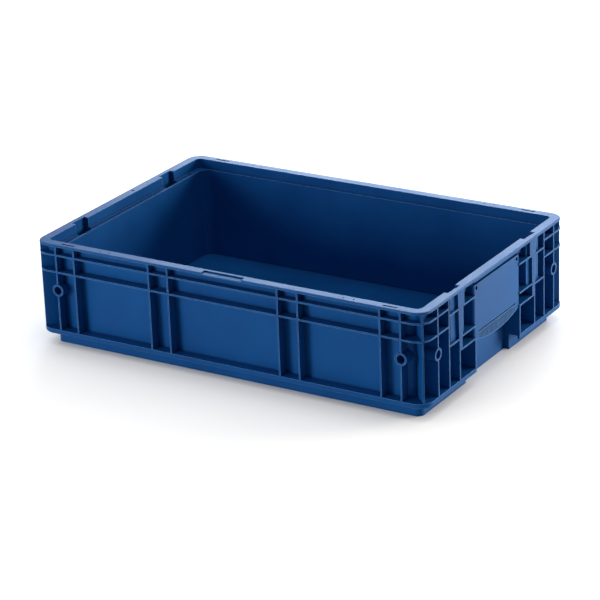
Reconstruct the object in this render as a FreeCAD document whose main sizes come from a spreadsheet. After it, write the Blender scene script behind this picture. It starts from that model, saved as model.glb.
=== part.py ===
import FreeCAD, Part
import math
import os
import Sketcher

# Small load carrier crate, injection moulded in one piece.
# X runs along the long sides, Y along the short sides, Z up.
# The origin is on the floor, under the middle of the crate.
# Every size below is a cell of the sheet, in millimetres, apart from the draft, in degrees.

SIZES = {
    # outer block
    "box_length": 594.0,
    "box_width": 396.0,
    "box_height": 147.5,
    "corner_radius": 20.0,
    # rim
    "rim_width": 13.7,
    "rim_thickness": 3.0,
    "rim_edge_radius": 1.4,
    "rim_inner_radius": 8.0,
    # tub
    "inside_length": 544.0,
    "inside_width": 362.0,
    "inside_radius": 14.0,
    "wall_thickness": 3.0,
    "wall_draft": 0.9,
    "ledge_drop": 14.0,
    "floor_top": 5.0,
    "floor_thickness": 3.0,
    # ledge groove on the short sides
    "groove_lip": 3.0,
    "groove_width": 5.2,
    "groove_depth": 1.6,
    "groove_end_gap": 24.0,
    # skirt and foot
    "foot_height": 17.3,
    "foot_inset": 16.2,
    "foot_radius": 9.0,
    "foot_wall": 2.6,
    "foot_hollow_depth": 14.0,
    "skirt_height": 7.2,
    "skirt_lip": 3.6,
    "skirt_flange": 2.8,
    "skirt_edge_radius": 2.6,
    # ribs
    "rib_thickness": 2.2,
    "lower_rib_drop": 38.2,
    "post_rib_inset": 34.8,
    "panel_rib_inset": 64.0,
    "bay_rib_outer": 113.6,
    "bay_rib_inner": 83.8,
    "web_setback": 0.2,
    "web_reach": 16.0,
    # gripper bosses
    "boss_diameter": 17.0,
    "boss_hole_diameter": 12.0,
    "boss_hole_depth": 12.0,
    "boss_height": 81.8,
    # lid slots behind the short sides
    "slot_place": 105.8,
    "slot_length": 29.5,
    "slot_lip": 7.0,
    "slot_depth": 63.0,
    "channel_wall": 2.7,
    "channel_setback": 4.0,
    "channel_rib_height": 82.0,
    "channel_upper_rib_height": 123.5,
    "guide_inner_place": 98.5,
    "guide_outer_place": 109.5,
    "guide_foot_inner_place": 99.5,
    "guide_foot_outer_place": 106.2,
    "guide_flare": 5.5,
    "guide_flare_height": 124.0,
    "guide_flare_run": 4.0,
    # label plate and its bay
    "label_half_width": 64.0,
    "label_setback": 1.7,
    "label_edge_radius": 3.0,
    "label_wall": 2.5,
    "label_top_drop": 10.0,
    "label_bottom": 72.6,
    "label_slit_height": 1.9,
    "label_slit_half_width": 52.0,
    "label_notch": 5.4,
    "label_notch_inset": 4.6,
    "label_notch_drop": 2.2,
    "label_upper_rib_height": 124.5,
    "label_lower_rib_height": 84.0,
    "opening_rib_height": 66.5,
    # tongue with its curved edge, over the open recess
    "tongue_end_height": 63.5,
    "tongue_middle_height": 54.0,
    "serration_pitch": 3.6,
    "serration_width": 1.7,
    "serration_depth": 0.7,
    "serration_lip": 1.5,
    # grip bar under the rim
    "grip_depth": 8.0,
    "grip_radius": 5.6,
    # marks in the rim
    "rim_slot_place": 245.4,
    "rim_slot_length": 21.0,
    "rim_slot_width": 3.2,
    "rim_mark_depth": 1.8,
    "pip_diameter": 2.4,
    "pip_outer_place": 193.2,
    "pip_inner_place": 178.4,
    "rim_step_length": 61.0,
    "rim_step_drop": 1.6,
    "rim_step_width": 6.6,
    "rim_groove_width": 3.4,
    "rim_groove_depth": 2.4,
    "dimple_place": 27.0,
    "dimple_diameter": 5.0,
    # ribs under the floor
    "base_rib_thickness": 2.4,
}

# Ribs under the floor and grip grooves in the tongue, in one quarter of the crate
BASE_RIBS_ALONG = 2
BASE_RIBS_ACROSS = 3
SERRATIONS = 14

document = FreeCAD.newDocument("small_load_carrier")


# The sheet of driving sizes

def make_sheet():
    sheet = document.addObject("Spreadsheet::Sheet", "Sizes")
    for row, (name, value) in enumerate(SIZES.items(), start=1):
        sheet.set("A%d" % row, name.replace("_", " "))
        sheet.set("B%d" % row, str(value))
        sheet.setAlias("B%d" % row, name)
    document.recompute()
    return sheet


# A length that knows its number, to draw with, and its formula, to bind to the sheet

class Size:
    def __init__(self, number, formula):
        self.number = number
        self.formula = formula

    def __add__(self, other):
        other = as_size(other)
        return Size(self.number + other.number, "(%s + %s)" % (self.formula, other.formula))

    def __sub__(self, other):
        other = as_size(other)
        return Size(self.number - other.number, "(%s - %s)" % (self.formula, other.formula))

    def __mul__(self, other):
        other = as_size(other)
        return Size(self.number * other.number, "(%s * %s)" % (self.formula, other.formula))

    def __truediv__(self, other):
        other = as_size(other)
        return Size(self.number / other.number, "(%s / %s)" % (self.formula, other.formula))

    def __neg__(self):
        return self * -1.0


def as_size(value):
    if isinstance(value, Size):
        return value
    return Size(float(value), "%.9f" % value)


sheet = make_sheet()


def size(name):
    return Size(float(getattr(sheet, name)), "Sizes." + name)


# Heights, half sizes and faces that several features share

half_length = size("box_length") / 2
half_width = size("box_width") / 2
top = size("box_height")
rim_underside = top - size("rim_thickness")
rim_inner_x = half_length - size("rim_width")
rim_inner_y = half_width - size("rim_width")
ledge = top - size("ledge_drop")
lower_rib_top = top - size("lower_rib_drop")
skirt_top = size("foot_height") + size("skirt_height")
floor_underside = size("floor_top") - size("floor_thickness")
inside_x = size("inside_length") / 2
inside_y = size("inside_width") / 2
skin_x = inside_x + size("wall_thickness")
skin_y = inside_y + size("wall_thickness")
collar_x = rim_inner_x + size("wall_thickness")
collar_y = rim_inner_y + size("wall_thickness")
rim_middle_y = half_width - size("rim_width") / 2
rib = size("rib_thickness")
post_x = half_length - size("post_rib_inset")
post_y = half_width - size("post_rib_inset")
panel_x = half_length - size("panel_rib_inset")
panel_y = half_width - size("panel_rib_inset")
foot_x = half_length - size("foot_inset")
foot_y = half_width - size("foot_inset")
label_y = size("label_half_width")
label_inner_y = label_y - size("label_wall")
label_face_x = half_length - size("label_setback")
label_back_x = label_face_x - size("wall_thickness")
label_top = top - size("label_top_drop")
channel_x = half_length - size("channel_setback")
draft_slope = Size(math.tan(math.radians(sheet.wall_draft)), "tan(Sizes.wall_draft * 1 deg)")
base_skin_x = skin_x - ledge * draft_slope
hollow_top = ledge - rib
nothing = as_size(0)
margin = as_size(1)


# Sketch helpers

def origin_plane(body, role):
    for feature in body.Origin.OriginFeatures:
        if feature.Role == role:
            return feature
    raise ValueError(role)


def add_sketch(body, name, role, level=None):
    sketch = body.newObject("Sketcher::SketchObject", name + "_sketch")
    sketch.AttachmentSupport = [(origin_plane(body, role), "")]
    sketch.MapMode = "FlatFace"
    if level is not None:
        sketch.setExpression("AttachmentOffset.Base.z", level.formula)
    return sketch


def bind(sketch, kind, *arguments):
    # The last argument is the size that the dimension follows.
    wanted = arguments[-1]
    index = sketch.addConstraint(Sketcher.Constraint(kind, *arguments[:-1], wanted.number))
    sketch.setExpression("Constraints[%d]" % index, wanted.formula)


def square_outline(sketch, corners, rounded):
    # A closed outline of level and upright lines through the corners.
    # The corners named in rounded, by their place in the list, get that radius.
    count = len(corners)
    points = [FreeCAD.Vector(x.number, y.number, 0) for x, y in corners]
    ahead = []
    for i in range(count):
        step = points[(i + 1) % count] - points[i]
        ahead.append(step.normalize())
    starts = []
    ends = []
    for i in range(count):
        cut = rounded[i].number if i in rounded else 0.0
        starts.append(points[i] + ahead[i] * cut)
        ends.append(points[i] - ahead[i - 1] * cut)
    lines = []
    for i in range(count):
        line = sketch.addGeometry(Part.LineSegment(starts[i], ends[(i + 1) % count]), False)
        lines.append(line)
        direction = "Horizontal" if abs(ahead[i].x) > abs(ahead[i].y) else "Vertical"
        sketch.addConstraint(Sketcher.Constraint(direction, line))
    for i in range(count):
        before = lines[i - 1]
        after = lines[i]
        if i not in rounded:
            sketch.addConstraint(Sketcher.Constraint("Coincident", before, 2, after, 1))
            continue
        radius = rounded[i]
        centre = points[i] + (ahead[i] - ahead[i - 1]) * radius.number
        turns_left = ahead[i - 1].cross(ahead[i]).z > 0
        first, last = (ends[i], starts[i]) if turns_left else (starts[i], ends[i])
        first_angle = math.atan2(first.y - centre.y, first.x - centre.x)
        last_angle = math.atan2(last.y - centre.y, last.x - centre.x)
        ring = Part.Circle(centre, FreeCAD.Vector(0, 0, 1), radius.number)
        arc = sketch.addGeometry(Part.ArcOfCircle(ring, first_angle, last_angle), False)
        near_end, far_end = (1, 2) if turns_left else (2, 1)
        sketch.addConstraint(Sketcher.Constraint("Tangent", before, 2, arc, near_end))
        sketch.addConstraint(Sketcher.Constraint("Tangent", after, 1, arc, far_end))
        bind(sketch, "Radius", arc, radius)
    for i in range(count):
        x, y = corners[i]
        if abs(ahead[i].x) > abs(ahead[i].y):
            bind(sketch, "DistanceY", -1, 1, lines[i], 1, y)
        else:
            bind(sketch, "DistanceX", -1, 1, lines[i], 1, x)


def rectangle(sketch, left, right, low, high):
    square_outline(sketch, [(left, low), (right, low), (right, high), (left, high)], {})


def full_rectangle(sketch, half_x, half_y, radius):
    corners = [(-half_x, -half_y), (half_x, -half_y), (half_x, half_y), (-half_x, half_y)]
    square_outline(sketch, corners, {0: radius, 1: radius, 2: radius, 3: radius})


def quarter_rectangle(sketch, half_x, half_y, radius):
    corners = [(nothing, nothing), (half_x, nothing), (half_x, half_y), (nothing, half_y)]
    square_outline(sketch, corners, {2: radius})


def strip(sketch, place, low, high):
    # The section of an upright rib, centred on its place.
    rectangle(sketch, place - rib / 2, place + rib / 2, low, high)


def polygon(sketch, corners):
    count = len(corners)
    points = [FreeCAD.Vector(x.number, y.number, 0) for x, y in corners]
    lines = []
    for i in range(count):
        lines.append(sketch.addGeometry(Part.LineSegment(points[i], points[(i + 1) % count]), False))
    for i in range(count):
        sketch.addConstraint(Sketcher.Constraint("Coincident", lines[i - 1], 2, lines[i], 1))
        bind(sketch, "DistanceX", -1, 1, lines[i], 1, corners[i][0])
        bind(sketch, "DistanceY", -1, 1, lines[i], 1, corners[i][1])


def circle(sketch, x, y, diameter):
    centre = FreeCAD.Vector(x.number, y.number, 0)
    ring = Part.Circle(centre, FreeCAD.Vector(0, 0, 1), diameter.number / 2)
    index = sketch.addGeometry(ring, False)
    bind(sketch, "DistanceX", -1, 1, index, 3, x)
    bind(sketch, "DistanceY", -1, 1, index, 3, y)
    bind(sketch, "Diameter", index, diameter)


# Feature helpers. Faces in one plane are merged once, when the quarter is mirrored.

def add_feature(body, kind, name, sketch, length, turned=False, taper=None):
    # A pad follows the sketch's normal and a pocket goes against it, unless turned.
    feature = body.newObject("PartDesign::" + kind, name)
    feature.Profile = sketch
    feature.Refine = False
    feature.Reversed = turned
    feature.setExpression("Length", length.formula)
    if taper is not None:
        feature.setExpression("TaperAngle", taper.formula)
    return feature


def add_mirror(body, name, role):
    document.recompute()
    mirror = body.newObject("PartDesign::Mirrored", name)
    mirror.TransformMode = "Whole shape"
    mirror.MirrorPlane = (origin_plane(body, role), [""])
    body.Tip = mirror
    document.recompute()


def outer_edges_at(shape, level):
    # Names of the edges of the outer outline that lie at one height: two sides and their corner.
    radius = sheet.corner_radius
    names = []
    for index, edge in enumerate(shape.Edges, start=1):
        box = edge.BoundBox
        flat = abs(box.ZMin - level.number) < 1e-4 and abs(box.ZMax - level.number) < 1e-4
        short_of_x = half_length.number - box.XMin
        short_of_y = half_width.number - box.YMin
        side = min(short_of_x, short_of_y) < 1e-3
        corner = short_of_x < radius + 1e-3 and short_of_y < radius + 1e-3
        if flat and (side or corner):
            names.append("Edge%d" % index)
    return names


def add_round(body, name, base, level, radius):
    document.recompute()
    fillet = body.newObject("PartDesign::Fillet", name)
    fillet.Base = (base, outer_edges_at(base.Shape, level))
    fillet.Refine = False
    fillet.setExpression("Radius", radius.formula)


# Tub with drafted sides, cut down to the quarter that all the rest is built on

def add_tub_block(body):
    sketch = add_sketch(body, "tub_block", "XY_Plane", ledge)
    full_rectangle(sketch, skin_x, skin_y, size("inside_radius") + size("wall_thickness"))
    depth = ledge - size("foot_height")
    add_feature(body, "Pad", "tub_block", sketch, depth, turned=True, taper=-size("wall_draft"))
    sketch = add_sketch(body, "quarter_cut", "XY_Plane", ledge)
    corners = [
        (-half_length, -half_width), (half_length, -half_width), (half_length, nothing),
        (nothing, nothing), (nothing, half_width), (-half_length, half_width),
    ]
    square_outline(sketch, corners, {})
    add_feature(body, "Pocket", "quarter_cut", sketch, ledge)


# Collar above the ledge, and the rim with its rounded outer edge

def add_collar_and_rim(body):
    sketch = add_sketch(body, "collar_block", "XY_Plane", ledge - rib)
    quarter_rectangle(sketch, collar_x, collar_y, size("rim_inner_radius") + size("wall_thickness"))
    add_feature(body, "Pad", "collar_block", sketch, top - ledge + rib)
    sketch = add_sketch(body, "rim_plate", "XY_Plane", rim_underside)
    quarter_rectangle(sketch, half_length, half_width, size("corner_radius"))
    rim = add_feature(body, "Pad", "rim_plate", sketch, size("rim_thickness"))
    add_round(body, "rim_edge", rim, top, size("rim_edge_radius"))


# Level ribs that run round the corners and stop at the end bays

def add_level_rib(body, name, rib_top, bay_x):
    sketch = add_sketch(body, name, "XY_Plane", rib_top - rib)
    corners = [
        (nothing, nothing), (bay_x, nothing), (bay_x, panel_y),
        (half_length, panel_y), (half_length, half_width), (nothing, half_width),
    ]
    square_outline(sketch, corners, {4: size("corner_radius")})
    add_feature(body, "Pad", name, sketch, rib)


def add_level_ribs(body):
    half_wall = size("wall_thickness") / 2
    add_level_rib(body, "ledge_rib", ledge, collar_x - half_wall)
    add_level_rib(body, "lower_rib", lower_rib_top, skin_x - half_wall)


# Skirt band with its rounded lower edge, and the foot inset below it

def add_skirt_and_foot(body):
    sketch = add_sketch(body, "skirt_band", "XY_Plane", size("foot_height"))
    quarter_rectangle(sketch, half_length, half_width, size("corner_radius"))
    skirt = add_feature(body, "Pad", "skirt_band", sketch, size("skirt_height"))
    add_round(body, "skirt_edge", skirt, size("foot_height"), size("skirt_edge_radius"))
    sketch = add_sketch(body, "foot_block", "XY_Plane")
    quarter_rectangle(sketch, foot_x, foot_y, size("foot_radius"))
    add_feature(body, "Pad", "foot_block", sketch, skirt_top)


# Upright ribs, drawn right across the block: the cavity clears their inner parts

def add_upright_ribs(body):
    sketch = add_sketch(body, "long_side_ribs", "XY_Plane", skirt_top)
    for place in (post_x, panel_x, size("bay_rib_outer"), size("bay_rib_inner")):
        strip(sketch, place, nothing, half_width)
    add_feature(body, "Pad", "long_side_ribs", sketch, rim_underside - skirt_top)
    sketch = add_sketch(body, "short_side_ribs", "YZ_Plane")
    for place in (post_y, panel_y):
        strip(sketch, place, skirt_top, rim_underside)
    strip(sketch, size("slot_place"), skirt_top, size("opening_rib_height"))
    rectangle(sketch, label_inner_y, label_y, skirt_top, size("opening_rib_height"))
    add_feature(body, "Pad", "short_side_ribs", sketch, half_length)


# Diagonal web from the tub out to the middle of the rounded corner

def add_corner_web(body):
    slant = math.sqrt(0.5)
    centre_x = half_length - size("corner_radius")
    centre_y = half_width - size("corner_radius")
    outer = (size("corner_radius") - size("web_setback")) * slant
    inner = size("web_reach") * slant
    half = rib / 2 * slant
    corners = [
        (centre_x + outer + half, centre_y + outer - half),
        (centre_x + outer - half, centre_y + outer + half),
        (centre_x - inner - half, centre_y - inner + half),
        (centre_x - inner + half, centre_y - inner - half),
    ]
    sketch = add_sketch(body, "corner_web", "XY_Plane", skirt_top)
    polygon(sketch, corners)
    add_feature(body, "Pad", "corner_web", sketch, rim_underside - skirt_top)


# Gripper bosses on the post ribs

def add_bosses(body):
    sketch = add_sketch(body, "long_side_boss", "XZ_Plane")
    circle(sketch, post_x, size("boss_height"), size("boss_diameter"))
    add_feature(body, "Pad", "long_side_boss", sketch, half_width, turned=True)
    sketch = add_sketch(body, "short_side_boss", "YZ_Plane")
    circle(sketch, post_y, size("boss_height"), size("boss_diameter"))
    add_feature(body, "Pad", "short_side_boss", sketch, half_length)


def add_boss_holes(body):
    depth = size("boss_hole_depth")
    sketch = add_sketch(body, "long_side_hole", "XZ_Plane", -half_width)
    circle(sketch, post_x, size("boss_height"), size("boss_hole_diameter"))
    add_feature(body, "Pocket", "long_side_hole", sketch, depth, turned=True)
    sketch = add_sketch(body, "short_side_hole", "YZ_Plane", half_length)
    circle(sketch, post_y, size("boss_height"), size("boss_hole_diameter"))
    add_feature(body, "Pocket", "short_side_hole", sketch, depth)


# Channel round the lid slot, its tapered guide rib, and the short level ribs beside it

def add_channel(body):
    place = size("slot_place")
    half_channel = size("slot_length") / 2 + size("channel_wall")
    low = size("channel_rib_height") - rib
    sketch = add_sketch(body, "slot_channel", "YZ_Plane")
    rectangle(sketch, place - half_channel, place + half_channel, low, rim_underside)
    add_feature(body, "Pad", "slot_channel", sketch, channel_x)
    inner = size("guide_inner_place")
    foot_level = size("opening_rib_height") - rib
    corners = [
        (size("guide_foot_outer_place"), foot_level),
        (size("guide_outer_place"), rim_underside),
        (inner - size("guide_flare"), rim_underside),
        (inner - size("guide_flare"), size("guide_flare_height")),
        (inner, size("guide_flare_height") - size("guide_flare_run")),
        (size("guide_foot_inner_place"), foot_level),
    ]
    sketch = add_sketch(body, "guide_rib", "YZ_Plane")
    polygon(sketch, corners)
    add_feature(body, "Pad", "guide_rib", sketch, half_length)
    sketch = add_sketch(body, "end_bay_ribs", "YZ_Plane")
    for rib_top in (size("channel_rib_height"), size("channel_upper_rib_height")):
        rectangle(sketch, place + margin, panel_y, rib_top - rib, rib_top)
    for rib_top in (size("label_lower_rib_height"), size("label_upper_rib_height")):
        rectangle(sketch, label_inner_y, place - margin, rib_top - rib, rib_top)
    rectangle(sketch, label_inner_y, place, foot_level, size("opening_rib_height"))
    add_feature(body, "Pad", "end_bay_ribs", sketch, half_length)


def add_lid_slot(body):
    half_slot = size("slot_length") / 2
    place = size("slot_place")
    sketch = add_sketch(body, "lid_slot", "XY_Plane", top)
    rectangle(sketch, skin_x, half_length - size("slot_lip"), place - half_slot, place + half_slot)
    add_feature(body, "Pocket", "lid_slot", sketch, size("slot_depth"))


# Label plate with rounded edges, and the grip bar over it

def add_label_block(body):
    sketch = add_sketch(body, "label_block", "XY_Plane", size("foot_height"))
    quarter_rectangle(sketch, label_face_x, label_y, size("label_edge_radius"))
    add_feature(body, "Pad", "label_block", sketch, label_top - size("foot_height"))


def add_grip_bar(body):
    low = top - size("grip_depth")
    high = rim_underside + size("rim_thickness") / 2
    inner_x = rim_inner_x + size("wall_thickness") / 2
    corners = [(inner_x, low), (half_length, low), (half_length, high), (inner_x, high)]
    sketch = add_sketch(body, "grip_bar", "XZ_Plane")
    square_outline(sketch, corners, {1: size("grip_radius")})
    add_feature(body, "Pad", "grip_bar", sketch, label_y, turned=True)


# Hollow behind the plate, open below, that follows the drafted side of the tub

def add_label_hollow(body):
    corners = [
        (base_skin_x, nothing),
        (label_back_x, nothing),
        (label_back_x, hollow_top),
        (skin_x - rib * draft_slope, hollow_top),
    ]
    sketch = add_sketch(body, "label_hollow", "XZ_Plane")
    polygon(sketch, corners)
    add_feature(body, "Pocket", "label_hollow", sketch, label_inner_y)


# Opening below the tongue: its upper edge is the tongue's bow

def tongue_bow():
    # Radius of the arc through the tongue's two ends and its lowest point.
    half = label_inner_y
    sagitta = size("tongue_end_height") - size("tongue_middle_height")
    return (half * half + sagitta * sagitta) / (sagitta * 2)


def add_opening(body):
    half = label_inner_y
    end_height = size("tongue_end_height")
    bow = tongue_bow()
    corners = [(-half, end_height), (-half, -margin), (half, -margin), (half, end_height)]
    points = [FreeCAD.Vector(y.number, z.number, 0) for y, z in corners]
    sketch = add_sketch(body, "end_opening", "YZ_Plane", label_back_x - margin)
    lines = []
    for start, end in ((0, 1), (1, 2), (2, 3)):
        lines.append(sketch.addGeometry(Part.LineSegment(points[start], points[end]), False))
    lowest = FreeCAD.Vector(0, sheet.tongue_middle_height, 0)
    arc = sketch.addGeometry(Part.Arc(points[0], lowest, points[3]), False)
    for line, (y, z) in zip(lines, corners):
        bind(sketch, "DistanceX", -1, 1, line, 1, y)
        bind(sketch, "DistanceY", -1, 1, line, 1, z)
    bind(sketch, "DistanceX", -1, 1, lines[2], 2, half)
    bind(sketch, "DistanceY", -1, 1, lines[2], 2, end_height)
    sketch.addConstraint(Sketcher.Constraint("Coincident", lines[0], 2, lines[1], 1))
    sketch.addConstraint(Sketcher.Constraint("Coincident", lines[1], 2, lines[2], 1))
    sketch.addConstraint(Sketcher.Constraint("Coincident", arc, 1, lines[0], 1))
    sketch.addConstraint(Sketcher.Constraint("Coincident", arc, 2, lines[2], 2))
    bind(sketch, "Radius", arc, bow)
    depth = half_length - label_back_x + margin * 2
    add_feature(body, "Pocket", "end_opening", sketch, depth, turned=True)


# Slit between plate and tongue, and the square notch in the plate's corner

def add_label_cuts(body):
    low = size("label_bottom") - size("label_slit_height")
    notch = size("label_notch")
    notch_outer = label_y - size("label_notch_inset")
    notch_high = label_top - size("label_notch_drop")
    sketch = add_sketch(body, "label_cuts", "YZ_Plane", label_back_x - margin)
    rectangle(sketch, -margin, size("label_slit_half_width"), low, size("label_bottom"))
    rectangle(sketch, notch_outer - notch, notch_outer, notch_high - notch, notch_high)
    depth = half_length - label_back_x + margin
    add_feature(body, "Pocket", "label_cuts", sketch, depth, turned=True)


# Grip grooves in the face of the tongue, each ending just above the bow

def add_serrations(body):
    half_groove = size("serration_width") / 2
    high = size("label_bottom") - size("label_slit_height") - size("serration_lip")
    sketch = add_sketch(body, "serrations", "YZ_Plane", label_face_x - size("serration_depth"))
    for index in range(SERRATIONS):
        place = size("serration_pitch") * (index + 0.5)
        bow_height = size("tongue_middle_height") + place * place / (tongue_bow() * 2)
        low = bow_height + size("serration_lip")
        rectangle(sketch, place - half_groove, place + half_groove, low, high)
    add_feature(body, "Pocket", "serrations", sketch, size("serration_depth") + margin, turned=True)


# Hollows below the skirt, inside the foot and under the floor

def add_lower_hollows(body):
    lip_x = half_length - size("skirt_lip")
    lip_y = half_width - size("skirt_lip")
    corners = [
        (foot_x, -margin), (lip_x, -margin), (lip_x, lip_y),
        (-margin, lip_y), (-margin, foot_y), (foot_x, foot_y),
    ]
    sketch = add_sketch(body, "skirt_hollow", "XY_Plane", size("foot_height"))
    square_outline(sketch, corners, {2: size("corner_radius") - size("skirt_lip"), 5: size("foot_radius")})
    depth = size("skirt_height") - size("skirt_flange")
    add_feature(body, "Pocket", "skirt_hollow", sketch, depth, turned=True)
    sketch = add_sketch(body, "foot_hollow", "XY_Plane")
    far_y = foot_y - size("foot_radius") - size("foot_wall")
    rectangle(sketch, base_skin_x, foot_x - size("foot_wall"), label_y, far_y)
    add_feature(body, "Pocket", "foot_hollow", sketch, size("foot_hollow_depth"), turned=True)


# Cells under the floor, between the low ribs that the crate stands on

def rib_places(reach, count, skip_middle):
    # Centres of evenly spaced ribs from the middle line outward.
    if skip_middle:
        return [reach * ((2.0 * i + 1.0) / (2.0 * count + 1.0)) for i in range(count)]
    return [reach * (i / float(count)) for i in range(count)]


def add_floor_cells(body):
    half = size("base_rib_thickness") / 2
    reach_x = base_skin_x - size("wall_thickness")
    reach_y = foot_y - size("foot_wall")
    along = rib_places(reach_x, BASE_RIBS_ACROSS, True)
    across = rib_places(reach_y, BASE_RIBS_ALONG, False)
    x_gaps = list(zip([-margin] + [x + half for x in along], [x - half for x in along] + [reach_x]))
    y_gaps = list(zip([y + half for y in across], [y - half for y in across[1:]] + [reach_y]))
    sketch = add_sketch(body, "floor_cells", "XY_Plane")
    for left, right in x_gaps:
        for low, high in y_gaps:
            rectangle(sketch, left, right, low, high)
    add_feature(body, "Pocket", "floor_cells", sketch, floor_underside, turned=True)


# Inside of the crate

def add_cavity(body):
    sketch = add_sketch(body, "collar_cavity", "XY_Plane", top)
    full_rectangle(sketch, rim_inner_x, rim_inner_y, size("rim_inner_radius"))
    add_feature(body, "Pocket", "collar_cavity", sketch, size("ledge_drop"))
    sketch = add_sketch(body, "tub_cavity", "XY_Plane", ledge)
    full_rectangle(sketch, inside_x, inside_y, size("inside_radius"))
    depth = ledge - size("floor_top")
    add_feature(body, "Pocket", "tub_cavity", sketch, depth, taper=-size("wall_draft"))
    sketch = add_sketch(body, "ledge_groove", "XY_Plane", ledge)
    near_x = inside_x + size("groove_lip")
    rectangle(sketch, near_x, near_x + size("groove_width"), -margin, inside_y - size("groove_end_gap"))
    add_feature(body, "Pocket", "ledge_groove", sketch, size("groove_depth"))


# Small marks in the rim

def add_rim_marks(body):
    half_slot = size("rim_slot_length") / 2
    half_slot_width = size("rim_slot_width") / 2
    slot_x = size("rim_slot_place")
    sketch = add_sketch(body, "rim_marks", "XY_Plane", top)
    rectangle(sketch, slot_x - half_slot, slot_x + half_slot,
              rim_middle_y - half_slot_width, rim_middle_y + half_slot_width)
    for place in (size("pip_outer_place"), size("pip_inner_place")):
        circle(sketch, place, rim_middle_y, size("pip_diameter"))
    add_feature(body, "Pocket", "rim_marks", sketch, size("rim_mark_depth"))


# Marks that only one side of the crate has

def add_one_sided_marks(body):
    half_step = size("rim_step_length") / 2
    step_y = size("rim_step_width") - half_width
    sketch = add_sketch(body, "rim_step", "XY_Plane", top)
    rectangle(sketch, -half_step, half_step, -half_width - margin, step_y)
    add_feature(body, "Pocket", "rim_step", sketch, size("rim_step_drop"))
    sketch = add_sketch(body, "rim_groove", "XY_Plane", top)
    rectangle(sketch, -half_step, half_step, step_y, step_y + size("rim_groove_width"))
    circle(sketch, size("rim_width") / 2 - half_length, size("dimple_place"), size("dimple_diameter"))
    add_feature(body, "Pocket", "rim_groove", sketch, size("rim_groove_depth"))


def make_crate_body():
    body = document.addObject("PartDesign::Body", "crate_body")
    body.Label = "crate_body"
    add_tub_block(body)
    add_collar_and_rim(body)
    add_level_ribs(body)
    add_skirt_and_foot(body)
    add_upright_ribs(body)
    add_corner_web(body)
    add_bosses(body)
    add_channel(body)
    add_label_block(body)
    add_grip_bar(body)
    add_label_hollow(body)
    add_opening(body)
    add_label_cuts(body)
    add_serrations(body)
    add_lower_hollows(body)
    add_floor_cells(body)
    add_lid_slot(body)
    add_cavity(body)
    add_rim_marks(body)
    add_boss_holes(body)
    add_mirror(body, "mirrored_along", "YZ_Plane")
    add_mirror(body, "mirrored_across", "XZ_Plane")
    add_one_sided_marks(body)
    return body


def check_document():
    for item in document.Objects:
        if "Invalid" in item.State or "Error" in item.State:
            raise RuntimeError("%s failed: %s" % (item.Label, item.State))


def write_part(body):
    shape = body.Shape
    if shape.isNull() or not shape.isValid():
        raise RuntimeError("%s has no valid shape" % body.Label)
    os.makedirs("parts", exist_ok=True)
    shape.exportStep(os.path.join("parts", body.Label + ".step"))
    print(body.Label, "solids", len(shape.Solids), "volume", round(shape.Volume), "faces", len(shape.Faces))


crate_body = make_crate_body()
document.recompute()
check_document()
write_part(crate_body)
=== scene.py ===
import math
import bpy
import bmesh
from mathutils import Matrix, Vector

# Small load carrier crate on a white studio floor. Every length is in metres.
# Azimuth 0 is the front long side, and the label plate in view is on the +X side.

millimetre = 0.001

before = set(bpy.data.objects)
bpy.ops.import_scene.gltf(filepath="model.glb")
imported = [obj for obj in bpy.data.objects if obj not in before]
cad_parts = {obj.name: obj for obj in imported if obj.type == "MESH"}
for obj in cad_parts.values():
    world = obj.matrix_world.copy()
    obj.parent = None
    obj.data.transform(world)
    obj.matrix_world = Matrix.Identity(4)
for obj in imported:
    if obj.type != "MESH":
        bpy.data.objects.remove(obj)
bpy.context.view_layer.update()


def linearFromHex(text):
    # A colour written as sRGB hex, turned into the linear values that the shaders take.
    channels = [int(text[i:i + 2], 16) / 255 for i in (1, 3, 5)]
    linear = [c / 12.92 if c <= 0.04045 else ((c + 0.055) / 1.055) ** 2.4 for c in channels]
    return (linear[0], linear[1], linear[2], 1.0)


def newMaterial(name):
    material = bpy.data.materials.new(name)
    material.use_nodes = True
    material.node_tree.nodes.clear()
    return material


def addNode(owner, kind, settings=None, **inputs):
    # Adds one shader node. settings holds its properties. inputs holds its sockets, by name or
    # as i0, i1 and so on by number, each with a value or with the output that feeds it.
    node = owner.node_tree.nodes.new(kind)
    for name, value in (settings or {}).items():
        setattr(node, name, value)
    for name, value in inputs.items():
        numbered = name[0] == "i" and name[1:].isdigit()
        socket = node.inputs[int(name[1:])] if numbered else node.inputs[name]
        if isinstance(value, bpy.types.NodeSocket):
            owner.node_tree.links.new(value, socket)
        else:
            socket.default_value = value
    return node


# Injection-moulded polypropylene, dyed blue

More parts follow.
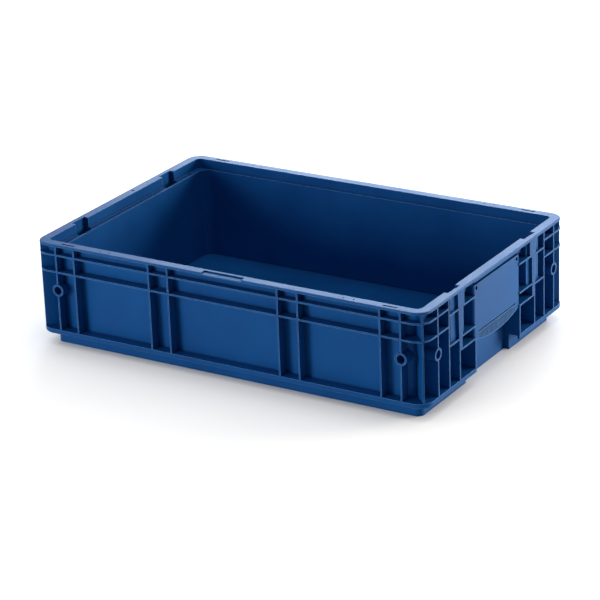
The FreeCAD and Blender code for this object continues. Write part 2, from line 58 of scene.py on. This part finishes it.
plastic = {
    "colour": "#105293",
    "colourDeep": "#0d4988",
    # lighter colour for worn edges, which also stands in for a painted highlight along them
    "colourWornAndHighlit": "#86b2de",
    "roughness": 0.42,
    "roughnessWorn": 0.5,
    "roughnessSpread": (-0.03, 0.05),
    "ior": 1.49,
    "sheen": 0.19,  # specular level: the grained face throws little light straight back
    "sheenColour": "#a0ceff",  # the dye tints what the grain throws back
    "flowSize": 90 * millimetre,  # slow sink and flow shading across a wall
    "flowDetail": 3.0,
    "flowRoughness": 0.55,
    "flowRange": (0.35, 0.68),
    "satinRange": (0.3, 0.7),  # the stretch of the same pattern that the gloss follows
    "grainSize": 0.9 * millimetre,  # the mould's eroded texture, coarser than real so that it shows
    "grainDetail": 2.0,
    "grainRoughness": 0.6,
    "grainDepth": 0.04 * millimetre,
    "edgeRadius": 0.9 * millimetre,  # the moulding's broken edges
    "edgeSamples": 4,
    "edgeTurn": (0.999, 0.92),  # how far the broken edge turns before wear and the painted edge highlight start and are full
    "scuffSize": 6.25 * millimetre,
    "scuffDetail": 4.0,
    "scuffRoughness": 0.7,
    "scuffRange": (0.38, 0.62),
    "scuffLeast": 0.5,
    "wornAndHighlit": 0.85,  # share of the worn colour on a sharp edge, which also paints a highlight along it
    "paintedShadeReach": 3.5 * millimetre,  # painted shade darkens grooves, blind holes and rib roots within this
    "paintedShadeSamples": 6,
    "paintedShadeDark": 0.4,
    "paintedShadeRange": (0.15, 0.95),
    "proudRange": (0.6, 0.9),  # wear and the painted edge highlight keep to edges that stand proud
}


def makePlastic(settings):
    # Gives the eye a satin dyed plastic: a slightly uneven depth of blue, fine mould grain,
    # lighter edges from wear and a painted highlight, and painted shade at the roots where ribs meet
    # the wall.
    material = newMaterial("injection-moulded polypropylene blue")
    coordinates = addNode(material, "ShaderNodeTexCoord").outputs["Object"]

    # Uneven depth of the dye
    flow = addNode(material, "ShaderNodeTexNoise", None, Vector=coordinates,
                   Scale=1.0 / settings["flowSize"], Detail=settings["flowDetail"],
                   Roughness=settings["flowRoughness"]).outputs["Fac"]
    flowLow, flowHigh = settings["flowRange"]
    flowShare = addNode(material, "ShaderNodeMapRange", None, Value=flow,
                        i1=flowLow, i2=flowHigh, i3=0.0, i4=1.0).outputs["Result"]
    dyed = addNode(material, "ShaderNodeMix", {"data_type": "RGBA"}, i0=flowShare,
                   i6=linearFromHex(settings["colourDeep"]),
                   i7=linearFromHex(settings["colour"])).outputs[2]

    # Edges, found where a rounded normal turns away from the plain one
    rounded = addNode(material, "ShaderNodeBevel", {"samples": settings["edgeSamples"]},
                      Radius=settings["edgeRadius"]).outputs["Normal"]
    plain = addNode(material, "ShaderNodeNewGeometry").outputs["Normal"]
    turned = addNode(material, "ShaderNodeVectorMath", {"operation": "DOT_PRODUCT"},
                     i0=rounded, i1=plain).outputs["Value"]
    turnStart, turnEnd = settings["edgeTurn"]
    atEdge = addNode(material, "ShaderNodeMapRange", None, Value=turned,
                     i1=turnStart, i2=turnEnd, i3=0.0, i4=1.0).outputs["Result"]

    # Open and hollow places: painted shade in the hollows, and edges that stand proud
    opened = addNode(material, "ShaderNodeAmbientOcclusion", {"samples": settings["paintedShadeSamples"]},
                     Distance=settings["paintedShadeReach"]).outputs["AO"]
    proudLow, proudHigh = settings["proudRange"]
    proud = addNode(material, "ShaderNodeMapRange", None, Value=opened,
                    i1=proudLow, i2=proudHigh, i3=0.0, i4=1.0).outputs["Result"]
    paintedShadeLow, paintedShadeHigh = settings["paintedShadeRange"]
    paintedShade = addNode(material, "ShaderNodeMapRange", None, Value=opened,
                    i1=paintedShadeLow, i2=paintedShadeHigh, i3=settings["paintedShadeDark"], i4=1.0).outputs["Result"]

    # Wear and a painted edge highlight on the proud edges, broken up by scuffs
    scuffs = addNode(material, "ShaderNodeTexNoise", None, Vector=coordinates,
                     Scale=1.0 / settings["scuffSize"], Detail=settings["scuffDetail"],
                     Roughness=settings["scuffRoughness"]).outputs["Fac"]
    scuffLow, scuffHigh = settings["scuffRange"]
    scuffShare = addNode(material, "ShaderNodeMapRange", None, Value=scuffs,
                         i1=scuffLow, i2=scuffHigh, i3=settings["scuffLeast"], i4=1.0).outputs["Result"]
    proudEdge = addNode(material, "ShaderNodeMath", {"operation": "MULTIPLY"},
                        i0=atEdge, i1=proud).outputs["Value"]
    wearAndHighlight = addNode(material, "ShaderNodeMath", {"operation": "MULTIPLY", "use_clamp": True},
                   i0=proudEdge, i1=scuffShare).outputs["Value"]
    wearAndHighlightShare = addNode(material, "ShaderNodeMath", {"operation": "MULTIPLY"},
                        i0=wearAndHighlight, i1=settings["wornAndHighlit"]).outputs["Value"]
    wornAndHighlit = addNode(material, "ShaderNodeMix", {"data_type": "RGBA"}, i0=wearAndHighlightShare, i6=dyed,
                   i7=linearFromHex(settings["colourWornAndHighlit"])).outputs[2]
    # Painted shade: the colour is darkened in grooves, blind holes and rib roots
    colour = addNode(material, "ShaderNodeVectorMath", {"operation": "SCALE"},
                     Vector=wornAndHighlit, Scale=paintedShade).outputs["Vector"]

    # Satin gloss, duller where worn
    smoother, rougher = settings["roughnessSpread"]
    satinLow, satinHigh = settings["satinRange"]
    satin = addNode(material, "ShaderNodeMapRange", None, Value=flow, i1=satinLow, i2=satinHigh,
                    i3=settings["roughness"] + smoother,
                    i4=settings["roughness"] + rougher).outputs["Result"]
    roughness = addNode(material, "ShaderNodeMix", {"data_type": "FLOAT"}, i0=wearAndHighlight, i2=satin,
                        i3=settings["roughnessWorn"]).outputs[0]

    # Mould grain
    grain = addNode(material, "ShaderNodeTexNoise", None, Vector=coordinates,
                    Scale=1.0 / settings["grainSize"], Detail=settings["grainDetail"],
                    Roughness=settings["grainRoughness"]).outputs["Fac"]
    bump = addNode(material, "ShaderNodeBump", None, Height=grain, Strength=1.0,
                   Distance=settings["grainDepth"]).outputs["Normal"]

    shader = addNode(material, "ShaderNodeBsdfPrincipled", None, **{
        "Base Color": colour, "Roughness": roughness, "Normal": bump, "IOR": settings["ior"],
        "Specular IOR Level": settings["sheen"],
        "Specular Tint": linearFromHex(settings["sheenColour"])})
    addNode(material, "ShaderNodeOutputMaterial", None, Surface=shader.outputs["BSDF"])
    return material


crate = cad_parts["crate_body"]
plasticMaterial = makePlastic(plastic)
for slotEntry in crate.material_slots:
    slotEntry.material = plasticMaterial
print("stage: plastic")


# Pale floor in white surroundings. Both are seen as plain white, and the floor keeps the shadow.

studio = {
    "floorSize": 8.0,
    "floorCells": 8,
    "floorColour": "#d4d4d4",
    "floorRoughness": 0.7,
    "worldColour": "#ffffff",
    "worldStrength": 0.17,  # the even light that falls on the crate from all round
    "lift": 0.74,  # white added to the floor where it is seen, not where it lights the crate
    "paintedContactShadeReach": 0.24,  # nearer to the crate than this the added white fades, which paints a contact shade on the floor
    "paintedContactShadeSamples": 12,
}


def addSeen(owner):
    # 1 for the rays that show the studio itself: to the camera, in gloss and through glass.
    path = addNode(owner, "ShaderNodeLightPath").outputs
    direct = addNode(owner, "ShaderNodeMath", {"operation": "MAXIMUM"},
                     i0=path["Is Camera Ray"], i1=path["Is Glossy Ray"]).outputs["Value"]
    return addNode(owner, "ShaderNodeMath", {"operation": "MAXIMUM"},
                   i0=direct, i1=path["Is Transmission Ray"]).outputs["Value"]


def makeFloor(settings):
    mesh = bpy.data.meshes.new("studio_floor")
    build = bmesh.new()
    bmesh.ops.create_grid(build, x_segments=settings["floorCells"], y_segments=settings["floorCells"],
                          size=settings["floorSize"] / 2)
    build.to_mesh(mesh)
    build.free()
    floor = bpy.data.objects.new("studio_floor", mesh)
    bpy.context.scene.collection.objects.link(floor)
    material = newMaterial("painted studio floor")
    # The added white fades near the crate, a painted contact shade on the floor
    opened = addNode(material, "ShaderNodeAmbientOcclusion", {"samples": settings["paintedContactShadeSamples"]},
                     Distance=settings["paintedContactShadeReach"]).outputs["AO"]
    share = addNode(material, "ShaderNodeMath", {"operation": "MULTIPLY"},
                    i0=addSeen(material), i1=opened).outputs["Value"]
    lift = addNode(material, "ShaderNodeMath", {"operation": "MULTIPLY"}, i0=share, i1=settings["lift"])
    shader = addNode(material, "ShaderNodeBsdfPrincipled", None, **{
        "Base Color": linearFromHex(settings["floorColour"]), "Roughness": settings["floorRoughness"],
        "Emission Color": (1.0, 1.0, 1.0, 1.0), "Emission Strength": lift.outputs["Value"]})
    addNode(material, "ShaderNodeOutputMaterial", None, Surface=shader.outputs["BSDF"])
    floor.data.materials.append(material)


def makeWorld(settings):
    world = bpy.data.worlds.new("studio_world")
    world.use_nodes = True
    world.node_tree.nodes.clear()
    lit = addNode(world, "ShaderNodeBackground", None, Color=linearFromHex(settings["worldColour"]),
                  Strength=settings["worldStrength"]).outputs["Background"]
    white = addNode(world, "ShaderNodeBackground", None, Color=(1.0, 1.0, 1.0, 1.0),
                    Strength=1.0).outputs["Background"]
    mix = addNode(world, "ShaderNodeMixShader", None, i0=addSeen(world), i1=lit, i2=white)
    addNode(world, "ShaderNodeOutputWorld", None, Surface=mix.outputs["Shader"])
    bpy.context.scene.world = world


makeFloor(studio)
makeWorld(studio)
print("stage: studio")


# Soft boxes: low ones at the right rear, behind and at the left front, and a weak one overhead.
# The one behind gives the rim its sheen, and the key lights the short side with the label plate.

lamps = {
    "key": {"place": (2.35, 2.1, 0.62), "size": 1.3, "power": 115.0, "colour": "#fff6e8"},
    "back": {"place": (-1.3, 3.0, 1.0), "size": 1.8, "power": 84.0, "colour": "#cde3ff"},
    "top": {"place": (0.2, 0.2, 3.0), "size": 1.2, "power": 20.0, "colour": "#ffffff"},
    "front": {"place": (-1.6, -3.2, 0.45), "size": 1.2, "power": 70.0, "colour": "#ffffff"},
}

lampAim = (0.0, 0.0, 0.07)  # the middle of the crate


def makeLamp(name, settings):
    light = bpy.data.lights.new(name + "_softbox", "AREA")
    light.shape = "SQUARE"
    light.size = settings["size"]
    light.energy = settings["power"]
    light.color = linearFromHex(settings["colour"])[:3]
    lamp = bpy.data.objects.new(name + "_softbox", light)
    lamp.location = settings["place"]
    aim = Vector(lampAim) - lamp.location
    lamp.rotation_mode = "QUATERNION"
    lamp.rotation_quaternion = aim.to_track_quat("-Z", "Y")
    bpy.context.scene.collection.objects.link(lamp)


for name, settings in lamps.items():
    makeLamp(name, settings)
print("stage: lamps")


# Camera at the photograph's viewing angle, solved from its edges for a 600 px square frame

view = {
    "place": (1.74801, -2.8198, 1.37897),
    "yaw": 31.86,
    "pitch": 21.93,
    "roll": -2.18,
    "focalPixels": 2639.2,
    "framePixels": 600,
    "sensor": 36.0,
}


def makeCamera(settings):
    data = bpy.data.cameras.new("studio_camera")
    data.sensor_width = settings["sensor"]
    data.lens = settings["focalPixels"] / settings["framePixels"] * settings["sensor"]
    camera = bpy.data.objects.new("studio_camera", data)
    bpy.context.scene.collection.objects.link(camera)
    turn = (Matrix.Rotation(math.radians(settings["yaw"]), 4, "Z")
            @ Matrix.Rotation(math.radians(90.0 - settings["pitch"]), 4, "X")
            @ Matrix.Rotation(math.radians(settings["roll"]), 4, "Z"))
    camera.matrix_world = Matrix.Translation(settings["place"]) @ turn
    bpy.context.scene.camera = camera


makeCamera(view)
print("stage: camera")

bpy.context.scene.view_settings.view_transform = "Standard"
